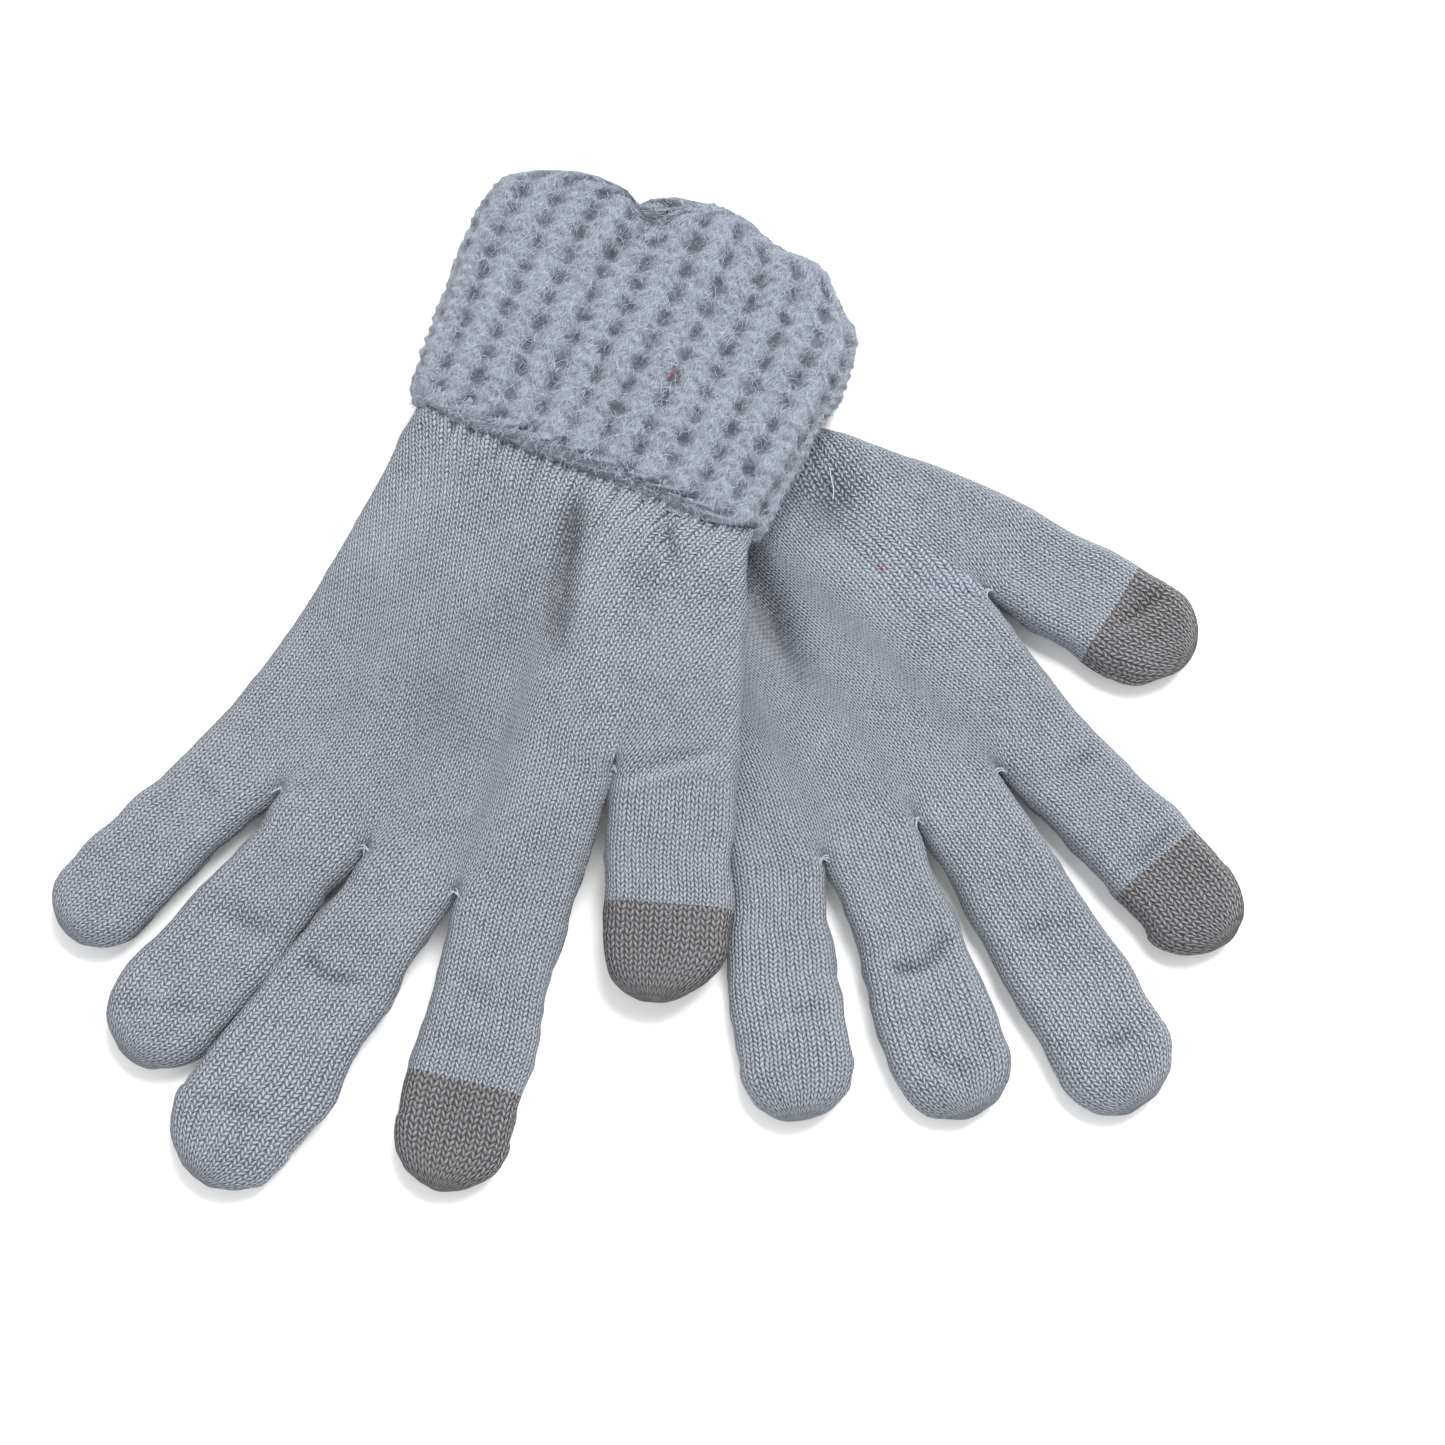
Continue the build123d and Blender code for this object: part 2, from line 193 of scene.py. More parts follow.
def noise_field(seed, wave, octaves):
    """A smooth random function of points, the same for the same seed, with wavelengths in mm."""
    rng = np.random.default_rng(seed)
    parts = []
    for octave in range(octaves):
        for _ in range(7):
            direction = unit(rng.normal(size=3))
            k = 2 * math.pi / (wave * rng.uniform(0.75, 1.35) / 1.9**octave)
            parts.append((direction * k, rng.uniform(0, 2 * math.pi), 0.55**octave))

    def value(p):
        return sum(a * np.sin(p @ k + phase) for k, phase, a in parts) / 3.2

    return value


def cad_points(*nodes):
    found = []
    for node in nodes:
        mesh = frame["nodes"][node].data
        co = np.empty(len(mesh.vertices) * 3, np.float32)
        mesh.vertices.foreach_get("co", co)
        found.append(co.reshape(-1, 3))
    return np.concatenate(found).astype(float) * MM


def hull_profile(s, half):
    """Upper convex outline of half-widths along s, as two arrays."""
    order = np.lexsort((-half, s))
    chain = []
    for p in zip(s[order], half[order]):
        while len(chain) >= 2:
            (x0, y0), (x1, y1) = chain[-2], chain[-1]
            if (x1 - x0) * (p[1] - y0) - (y1 - y0) * (p[0] - x0) >= 0:
                chain.pop()
            else:
                break
        chain.append(p)
    return np.array(chain).T


def slice_extent(node, origin, along, across, distance):
    """The lowest and highest place across of a CAD solid cut at a distance along."""
    mesh = frame["nodes"][node].data
    points = cad_points(node) - origin
    pairs = np.empty(len(mesh.edges) * 2, np.int32)
    mesh.edges.foreach_get("vertices", pairs)
    a, b = points[pairs[::2]], points[pairs[1::2]]
    da, db = a @ along - distance, b @ along - distance
    crossing = (da * db < 0) & (np.abs(da - db) > 1e-6)
    a, b, da, db = a[crossing], b[crossing], da[crossing], db[crossing]
    place = (a + (b - a) * (da / (da - db))[:, None]) @ across
    return place.min(), place.max()


def crease(p, a, b, width, height):
    """A valley or ridge from a to b, fading towards its ends."""
    a, b = np.array(a, float), np.array(b, float)
    d = b - a
    t = clamp(((p - a) @ d) / (d @ d))
    distance = np.linalg.norm(p - (a + t[:, None] * d), axis=1)
    taper = np.sin((t * 0.86 + 0.07) * math.pi) ** 0.7
    return height * np.exp(-((distance / width) ** 2)) * taper


def swell(p, centre, across, rx, ry, height):
    q = p - centre
    x, y = q @ across[:2], q @ np.array([-across[1], across[0]])
    return height * np.exp(-((x / rx) ** 2 + (y / ry) ** 2))


class Region:
    """A part seen from above, where a place is a share of its length and of its half width."""

    def __init__(self, origin, along, across, length, half):
        self.origin, self.along, self.across = origin, along, across
        self.length, self.half = length, half

    def spot(self, place):
        along, across = place
        return (self.origin + self.along * self.length * along + self.across * self.half * across)[:2]


# --- frames of the CAD parts
def stall_frame(glove, name):
    """Root centre, axes, length and half-width of a stall, from its hinge and its CAD solid."""
    joint = next(j for j in frame["joints"] if j["name"] == f"{glove}_{name}_fold")
    nodes = [f"{glove}_{name}_stall"]
    if name in TIP_BAND:
        nodes.append(f"{glove}_{name}_touch_tip")
    points = cad_points(*nodes)
    across = -unit(joint["axis"])
    pivot = np.array(joint["pos_m"]) * MM
    flat = np.array([across[1], -across[0], 0.0])
    best = None
    for pitch in np.radians(np.arange(-3, 16, 0.1)):
        normal = np.array([0, 0, math.cos(pitch)]) + flat * math.sin(pitch)
        height = (points - pivot) @ normal
        thick = height.max() - height.min()
        if best is None or thick < best[0]:
            best = (thick, normal)
    thick, normal = best
    along = np.cross(across, normal)
    if along @ flat < 0:
        along = -along
    origin = pivot - normal * thick / 2
    local = points - origin
    outline = hull_profile(local @ along, np.abs(local @ across))
    return {
        "name": name,
        "origin": origin,
        "across": across,
        "along": along,
        "normal": normal,
        "half": thick / 2,
        "length": (local @ along).max(),
        "outline": outline,
        "width": outline[1].max(),
        "root": float(np.interp(0.6, *outline)),
    }


def cuff_frame(glove):
    """Hem centre, axes and outline of the cuff, from its CAD solid."""
    points = cad_points(f"{glove}_cuff_turnback")
    rib = cad_points(f"{glove}_wrist_rib")
    palm = cad_points(f"{glove}_palm")
    middle = rib.mean(0)
    spread = np.cov((rib - middle)[:, :2].T)
    across = np.append(np.linalg.eigh(spread)[1][:, -1], 0.0)
    if across[0] < 0:
        across = -across
    up = np.array([-across[1], across[0], 0.0])
    if (palm.mean(0) - middle) @ up > 0:
        up = -up
    centre = middle + up * ((points @ up).min() - middle @ up)
    centre[2] = (points[:, 2].max() + points[:, 2].min()) / 2
    local = points - centre
    v, u = local @ up, local @ across
    stations = np.linspace(-3, v.max() + 3, 90)
    blur = np.hanning(11) / np.hanning(11).sum()
    edges = []
    for side in (-u, u):
        line = np.interp(stations, *hull_profile(v, side))
        edges.append(np.convolve(np.pad(line, 5, "edge"), blur, "valid"))
    return {
        "origin": centre,
        "across": across,
        "up": up,
        "half": (points[:, 2].max() - points[:, 2].min()) / 2,
        "height": v.max(),
        "stations": stations,
        "left": -edges[0],
        "right": edges[1],
    }


# --- knitted surface
def stadium(xi, edge, left=True, right=True):
    """Place across, -1 to 1, of arc share xi round the upper half of a flat tube of half width 1."""
    edge = min(edge, 0.8)
    quarter = math.pi / 2 * edge * 0.96
    flat = 2 - (left + right) * edge
    total = (left + right) * quarter + flat
    s = np.asarray(xi) * total
    start = quarter if left else 0.0
    place = -1 + (edge if left else 0.0) + (s - start)
    if left:
        near = clamp(s / quarter)
        place = np.where(s < quarter, -1 + edge * (1 - np.cos(near * math.pi / 2)), place)
    if right:
        back = clamp((total - s) / quarter)
        place = np.where(total - s < quarter, 1 - edge * (1 - np.cos(back * math.pi / 2)), place)
    return place


def arc_of(half):
    edge = min(EDGE, half * 0.8)
    return math.pi * edge * 0.96 + 2 * half - 2 * edge


def hermite(p0, m0, p1, m1, t):
    t = t[:, None, None]
    return (
        (2 * t**3 - 3 * t**2 + 1) * p0
        + (t**3 - 2 * t**2 + t) * m0
        + (-2 * t**3 + 3 * t**2) * p1
        + (t**3 - t**2) * m1
    )


class Surface:
    """A growing mesh of quads with stitch coordinates and a group number per face."""

    def __init__(self):
        self.verts, self.faces, self.uvs, self.groups = [], [], [], []
        self.count = 0

    def grid(self, points, u, v, group, flip=False):
        rows, cols = points.shape[:2]
        index = np.arange(rows * cols).reshape(rows, cols) + self.count
        a, b, c, d = index[:-1, :-1], index[:-1, 1:], index[1:, 1:], index[1:, :-1]
        quads = np.stack([a, b, c, d] if flip else [a, d, c, b], -1).reshape(-1, 4)
        uv = np.stack(np.broadcast_arrays(u, v), -1)
        ua, ub, uc, ud = uv[:-1, :-1], uv[:-1, 1:], uv[1:, 1:], uv[1:, :-1]
        corners = np.stack([ua, ub, uc, ud] if flip else [ua, ud, uc, ub], -2)
        self.verts.append(points.reshape(-1, 3))
        self.faces.append(quads)
        self.uvs.append(corners.reshape(-1, 4, 2))
        self.groups.append(np.broadcast_to(np.asarray(group), (rows - 1, cols - 1)).reshape(-1))
        self.count += rows * cols

    def merged(self):
        """Joins points that coincide; also gives which first point each kept point came from."""
        verts = np.concatenate(self.verts)
        key = np.round(verts / 0.004).astype(np.int64)
        _, first, inverse = np.unique(key, axis=0, return_index=True, return_inverse=True)
        faces = inverse.reshape(-1)[np.concatenate(self.faces)]
        return verts[first], faces, np.concatenate(self.uvs), np.concatenate(self.groups), first


def vertex_normals(verts, faces):
    p = verts[faces]
    n = np.cross(p[:, 2] - p[:, 0], p[:, 3] - p[:, 1])
    out = np.zeros_like(verts)
    for k in range(4):
        np.add.at(out, faces[:, k], n)
    return out / np.maximum(np.linalg.norm(out, axis=1, keepdims=True), 1e-12)


def make_mesh(name, verts, faces, uvs=None, normals=None, attributes=None):
    """A Blender object from arrays in millimetres; faces with a repeated corner become triangles."""
    used = np.unique(faces)
    lookup = np.full(len(verts), -1)
    lookup[used] = np.arange(len(used))
    polygons, corner_uvs = [], []
    for i, q in enumerate(lookup[faces].tolist()):
        n = len(q)
        keep = [k for k in range(n) if q[k] != q[(k + 1) % n]]
        if len(keep) < 3:
            continue
        polygons.append([q[k] for k in keep])
        if uvs is not None:
            corner_uvs.extend(uvs[i, k] for k in keep)
    mesh = bpy.data.meshes.new(name)
    mesh.from_pydata((verts[used] / MM).tolist(), [], polygons)
    if uvs is not None:
        layer = mesh.uv_layers.new(name="stitch")
        layer.data.foreach_set("uv", np.array(corner_uvs, np.float32).ravel())
    for key, values in (attributes or {}).items():
        attribute = mesh.attributes.new(key, "FLOAT", "POINT")
        attribute.data.foreach_set("value", np.asarray(values)[used].astype(np.float32))
    mesh.polygons.foreach_set("use_smooth", [True] * len(mesh.polygons))
    mesh.update()
    if normals is not None:
        mesh.normals_split_custom_set_from_vertices([tuple(n) for n in normals[used]])
    piece = bpy.data.objects.new(name, mesh)
    scene.collection.objects.link(piece)
    return piece


def dress(piece, material, body, slot, *nodes):
    """Gives a rigid piece its material and body, and hides the CAD nodes that it stands for; the slot is
    not used.
    """
    piece.data.materials.append(material)
    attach(piece, body)
    if nodes:
        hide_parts(*nodes)


# --- gloves
def stall_grid(stall, xi, wave):
    """Rows of a stall from its root to its tip: places across and along, and height factor."""
    outline, half = stall["outline"], stall["width"]
    shoulder = stall["length"] - half
    straight = max(2, round(shoulder / ROW))
    cap = max(8, round(half * math.pi / 2 / ROW))
    s_rows = np.concatenate([np.linspace(0, shoulder, straight, endpoint=False), np.zeros(cap + 1)])
    w_rows = np.interp(s_rows, *outline)
    ease = smooth(s_rows / 10.0)
    w_rows = stall["root"] * (1 - ease) + w_rows * ease
    angle = np.linspace(0, math.pi / 2, cap + 1)
    s_rows[straight:] = shoulder + half * np.sin(angle)
    w_rows[straight:] = half * np.cos(angle)
    x = stadium(xi, EDGE / half)[None, :] * w_rows[:, None]
    s = np.repeat(s_rows[:, None], len(xi), 1)
    radius = np.hypot(x, np.maximum(s - shoulder, 0))
    distance = np.where(s < shoulder, w_rows[:, None] - np.abs(x), half - radius)
    height = edge_height(np.maximum(distance, 0))
    height[:, 0] = 0
    height[:, -1] = 0
    height[-1] = 0
    sway = wave(np.stack([s_rows, s_rows * 0, s_rows * 0], -1)) * smooth(s_rows / 12.0)
    x = x * (1 + 0.035 * wave(np.stack([s_rows, s_rows * 0 + 90, s_rows * 0], -1)) * ease)[:, None]
    return x + 0.5 * sway[:, None], s, height


def glove_surface(glove, seed):
    """The knitted surface of one glove: vertices, faces, stitch coordinates, groups."""
    stalls = [stall_frame(glove, name) for name in FINGERS]
    cuff = cuff_frame(glove)
    half = float(np.mean([s["half"] for s in stalls]))
    wrist, across, down = cuff["origin"], cuff["across"], -cuff["up"]
    left_edge, right_edge = slice_extent(f"{glove}_palm", wrist, down, across, 2.0)
    left = [s["origin"] - s["across"] * s["root"] for s in stalls]
    right = [s["origin"] + s["across"] * s["root"] for s in stalls]
    for i in range(3):
        shared = (right[i] + left[i + 1]) / 2
        right[i] = left[i + 1] = shared
    arcs = [arc_of(s["root"]) for s in stalls]
    columns = [round(a / STEP) for a in arcs]
    start = np.cumsum([0.0] + arcs)
    rows = round(PALM / ROW)
    crotch_row = round(rows * 0.6)
    t = np.linspace(0, 1, rows + 1)

    def slope_of(stall):
        run = np.linalg.norm((stall["origin"] - wrist)[:2])
        return (stall["origin"][2] - wrist[2]) / run

    def end_tangent(i, xi):
        base = stalls[i]["along"].copy()
        base[2] = 0.5 * (base[2] + slope_of(stalls[i]))
        lean_left = base if i in (0, 4) else unit(base + stalls[i - 1]["along"])
        lean_right = base if i in (3, 4) else unit(base + stalls[i + 1]["along"])
        wl = (clamp(1 - xi / 0.35) ** 2)[:, None]
        wr = (clamp(1 - (1 - xi) / 0.35) ** 2)[:, None]
        return unit(base + (lean_left - base) * wl + (lean_right - base) * wr)

    def span(i, place):
        return left[i] + (right[i] - left[i]) * ((place + 1) / 2)[:, None]

    paths = []
    for i, stall in enumerate(stalls):
        xi = np.linspace(0, 1, columns[i] + 1)
        place = (stadium((start[i] + xi * arcs[i]) / start[-1], 0.12) + 1) / 2
        p0 = wrist + across * (left_edge + (right_edge - left_edge) * place)[:, None]
        p1 = span(i, stadium(xi, EDGE / stall["root"], i == 0, i == 4))
        m0 = down + across * (THUMB_LEAN[glove] * smooth((xi + 0.4) / 1.4) * (i == 4))[:, None]
        m0 = unit(m0)
        m0[:, 2] = slope_of(stall) * 0.8
        chord = np.linalg.norm(p1 - p0, axis=1, keepdims=True)
        tt = t if i < 4 else np.linspace(0, 1, crotch_row + 1)
        path = hermite(p0, m0 * chord, p1, end_tangent(i, xi) * chord, tt)
        to_root = (len(tt) - 1 - np.arange(len(tt))) * ROW
        wl = wr = smooth(1 - to_root / 11.0)
        if i == 3:
            wr = np.maximum(wr, smooth((np.arange(len(tt)) - crotch_row + 8) / 14.0))
        even = span(i, 2 * xi - 1)
        edge = EDGE / stall["root"]
        if i > 0:
            path += (span(i, stadium(xi, edge, True, False)) - even)[None] * wl[:, None, None]
        if i < 4:
            path += (span(i, stadium(xi, edge, False, True)) - even)[None] * wr[:, None, None]
        paths.append(path)

    # the index group's thumb side: wrist to thumb crotch, then the free web to the index root
    p0, crotch, root = (paths[3][0, -1] + paths[4][0, 0]) / 2, left[4], right[3]
    turn = unit(root - crotch)
    reach = np.linalg.norm(crotch - p0)
    lean = down + np.array([0, 0, slope_of(stalls[4]) * 0.8])
    bend = unit(turn + unit(crotch - p0)) * reach
    first = hermite(p0[None], lean * reach, crotch[None], bend, np.linspace(0, 1, crotch_row + 1))[:, 0]
    rest = np.linalg.norm(root - crotch)
    second = hermite(
        crotch[None], turn[None] * rest, root[None], stalls[3]["along"][None] * rest,
        np.linspace(0, 1, rows - crotch_row + 1),
    )[:, 0]
    border = np.concatenate([first, second[1:]])

    def pull(i, side, border, power):
        """Moves a side column of a path onto a border, and the others less the farther they are."""
        share = np.linspace(0, 1, paths[i].shape[1])
        share = share if side else 1 - share
        paths[i] = paths[i] + (border - paths[i][:, side])[:, None] * (share**power)[None, :, None]

    pull(3, -1, border, 2.0)
    pull(4, 0, first, 2.0)
    for i in range(3):
        shared = (paths[i][:, -1] + paths[i + 1][:, 0]) / 2
        pull(i, -1, shared, 3)
        pull(i + 1, 0, shared, 3)

    surface = Surface()
    up = np.array([0, 0, 1.0])
    lead = round(INSIDE)
    for i, stall in enumerate(stalls):
        path = paths[i]
        path = np.concatenate([path[:1] - down * np.arange(lead, 0, -1)[:, None, None], path])
        n_rows, n_cols = path.shape[:2]
        xi = np.linspace(0, 1, n_cols)
        row = np.arange(n_rows) - lead
        to_root = (n_rows - 1 - np.arange(n_rows)) * ROW
        near_root = smooth(1 - to_root / ROOT_RAMP)
        wl = np.ones(n_rows) if i == 0 else near_root
        wr = np.ones(n_rows) if i == 4 else near_root
        if i == 3:
            wr = smooth(1 - (crotch_row - row) * ROW / ROOT_RAMP)
        plan = path[..., :2]
        d_left = np.linalg.norm(plan - plan[:, :1], axis=-1)
        d_right = np.linalg.norm(plan - plan[:, -1:], axis=-1)
        height = 1 + (edge_height(d_left) - 1) * wl[:, None]
        height = height * (1 + (edge_height(d_right) - 1) * wr[:, None])
        wave = noise_field(seed + 50 + i, 24.0, 2)
        x, s, stall_height = stall_grid(stall, xi, wave)
        share = smooth(1 - to_root / 5.0)[:, None]
        height = height * (1 - share) + stall_height[0][None] * share
        u = ((start[i] + xi * arcs[i]) / WALE)[None, :]
        centre = start[-1] / WALE / 2
        spread = WRIST_SPREAD + (1 - WRIST_SPREAD) * clamp(row / crotch_row)[:, None]
        palm_u = centre + (u - centre) * spread
        courses = np.where(row > 0, row * ROW, row * 1.0) / COURSE
        for sign in (1, -1):
            points = path + up * (height * half * sign)[..., None]
            surface.grid(points, palm_u, courses[:, None], 0, flip=sign < 0)
        flat = stall["origin"] + stall["along"] * s[..., None] + stall["across"] * x[..., None]
        fade = (1 - smooth(s / 9.0))[..., None]
        flat = flat + (path[-1] - flat[0])[None] * fade
        lift = up * fade + stall["normal"] * (1 - fade)
        band = TIP_BAND.get(stall["name"], 0.0)
        middle = (s[:-1, :-1] + s[1:, :-1]) / 2
        group = np.where((band > 0) & (middle > stall["length"] - band), 10 + i, 1 + i)
        for sign in (1, -1):
            points = flat + lift * (stall_height * stall["half"] * sign)[..., None]
            points[-1] = points[-1].mean(0)
            surface.grid(points, u, courses[-1] + s / COURSE, group, flip=sign < 0)
    verts, faces, uvs, groups, _ = surface.merged()
    crotches = right[:3] + [left[4]]
    middle = wrist + across * (left_edge + right_edge) / 2
    regions = {"palm": Region(middle, down, across, PALM, (right_edge - left_edge) / 2)}
    for stall in stalls:
        regions[stall["name"]] = Region(
            stall["origin"], stall["along"], stall["across"], stall["length"], stall["root"]
        )
    info = {"stalls": stalls, "cuff": cuff, "crotches": crotches, "regions": regions}
    return verts, faces, uvs, groups, info


def shape_cloth(glove, verts, faces, info, seed):
    """Gives the knit its wrinkles, hollows, gathers and uneven lie, and the painted shade that goes with
    them.
    """
    top = smooth((vertex_normals(verts, faces)[:, 2] + 0.2) / 0.8)
    cuff = info["cuff"]
    rel = verts - cuff["origin"]
    u, v = rel @ cuff["across"], -(rel @ cuff["up"])
    p = verts[:, :2]
    lift = 0.7 * noise_field(seed, 40.0, 1)(verts) + 0.24 * noise_field(seed + 1, 16.0, 1)(verts)
    lift = lift + 0.05 * noise_field(seed + 2, 6.0, 1)(verts)
    rng = np.random.default_rng(seed + 7)

    def vary(low, high, count):
        return np.interp(u, np.linspace(-60, 60, count), rng.uniform(low, high, count))

    wobble, reach, size = vary(-0.9, 0.9, 17), vary(6.0, 17.0, 33), vary(0.5, 1.15, 41)
    pleat = np.sin((u + wobble) * 2 * math.pi / 2.9)
    wide = np.sin((u - 1.6 * wobble) * 2 * math.pi / 6.7)
    past = np.clip(v, 0, None)
    lift = lift * smooth((v + 2) / 14.0)
    lift = lift + 0.72 * pleat * size * np.exp(-((past / reach) ** 1.4))
    lift = lift + 0.45 * wide * size * np.exp(-((past / (reach + 5)) ** 1.4))
    lift = lift + 1.1 * np.exp(-(((v - 9.0) / 6.0) ** 2)) - 0.5 * np.exp(-((past / 2.5) ** 2))
    folds = 0
    for part, a, b, width, height in CREASES[glove]:
        region = info["regions"][part]
        folds = folds + crease(p, region.spot(a), region.spot(b), width, height)
    lift = lift + folds
    swells = 0
    for part, centre, rx, ry, height in SWELLS[glove]:
        region = info["regions"][part]
        swells = swells + swell(p, region.spot(centre), region.across, rx, ry, height)
    lift = lift + swells
    for crotch in info["crotches"]:
        q = p - crotch[:2]
        r = np.linalg.norm(q, axis=1)
        ray = np.cos(7 * np.arctan2(q[:, 1], q[:, 0]) + crotch[0])
        lift = lift + 0.14 * ray * np.exp(-(((r - 4.0) / 3.0) ** 2)) - 0.2 * np.exp(-((r / 1.5) ** 2))
    moved = verts.copy()
    moved[:, 2] += lift * top
    sway = 0.35 * noise_field(seed + 9, 13.0, 2)(verts) + 0.12 * noise_field(seed + 10, 4.0, 1)(verts)
    moved += vertex_normals(verts, faces) * (sway * (1 - top) * smooth(v / 10))[:, None] * [1, 1, 0.2]
    moved[:, 2] = np.maximum(moved[:, 2], 0.03)
    gathers = (0.55 * pleat + 0.3 * wide) * size * np.exp(-((past / reach) ** 1.4))
    # the second value is painted shade for the knit's colour: darker in the valleys of creases and wrist
    # gathers and in hollows, a painted highlight on ridges and swells, on upward faces only
    return moved, np.clip(-(folds + gathers + 0.75 * swells) / 2.4, -0.6, 1.2) * top


def build_glove(glove, seed):
    verts, faces, uvs, groups, info = glove_surface(glove, seed)
    # depth is painted shade for the knit's colour: darker in creases and hollows, lighter on ridges
    verts, depth = shape_cloth(glove, verts, faces, info, seed)
    normals = vertex_normals(verts, faces)
    hand = f"{glove}_hand"

    def part(name, group, slot, material, *nodes):
        chosen = groups == group
        piece = make_mesh(name, verts, faces[chosen], uvs[chosen], normals, {"depth": depth})
        piece.data.materials.append(material)
        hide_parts(*nodes)
        return piece

    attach(part(f"{glove}_palm_knit", 0, "fine_knit", FINE, f"{glove}_palm"), hand)
    for i, name in enumerate(FINGERS):
        piece = part(f"{glove}_{name}_knit", 1 + i, "fine_knit", FINE, f"{glove}_{name}_stall")
        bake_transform(piece)
        if name in TIP_BAND:
            node = f"{glove}_{name}_touch_tip"
            tip = part(f"{glove}_{name}_tip_knit", 10 + i, "touch_yarn", TOUCH, node)
            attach(tip, f"{glove}_{name}")
        chosen = faces[groups == 1 + i]
        soft = fibres(f"{glove}_{name}_fluff", "stall", verts, chosen, normals, seed + i)
        soft.data.materials.append(FLUFF)
        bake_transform(soft)
    info["surface"] = (verts, normals)
    upper_side = faces[(groups == 0) & (normals[faces[:, 0], 2] > 0.2)]
    soft = fibres(f"{glove}_palm_fluff", "palm", verts, upper_side, normals, seed)
    dress(soft, FLUFF, hand, "fine_knit")
    return info


# --- cuff
def pit(c, v, rx, ry):
    """A soft opening at every whole number of c and v."""
    x, y = (c - np.round(c)) / rx, (v - np.round(v)) / ry
    return np.exp(-(x**2 + y**2))


def cuff_relief(c, v, seed):
    """Height of the chunky knit, and painted shade for its colour (dark in openings and grooves, lighter
    on strands), at c columns round and v courses up.
    """
    spots = np.stack([c * MESH_COLUMN, v * MESH_COURSE, c * 0], -1)
    c = c + noise_field(seed, 16.0, 2)(spots) * 0.022
    v = v + noise_field(seed + 3, 14.0, 2)(spots) * 0.05
    size = 1 + 0.16 * noise_field(seed + 4, 9.0, 1)(spots)
    big = pit(c, v, 0.27, 0.35) * size
    groove = np.exp(-(((c - np.round(c)) / 0.21) ** 2))
    small = pit(c + 0.5, v + 0.5, 0.10, 0.17) + 0.6 * pit(c + 0.5, v, 0.08, 0.15)
    across = c - np.floor(c) - 0.5
    strand = np.cos(2 * math.pi * (v * 2 + 2.2 * np.abs(across)))
    rough = noise_field(seed + 6, 2.1, 2)(spots)
    height = -1.5 * big - 0.75 * groove - 0.4 * small + 0.24 * strand * (1 - groove) + 0.2 * rough
    # painted shade: dark in the openings and grooves, a painted highlight on the strands
    hollow_shade = np.clip(0.9 * big + 0.32 * groove + 0.3 * small - 0.1 * strand + 0.08 * rough, -0.15, 1)
    height = np.where(height < 0, 2.1 * np.tanh(height / 2.1), height)
    return height + 0.4, hollow_shade


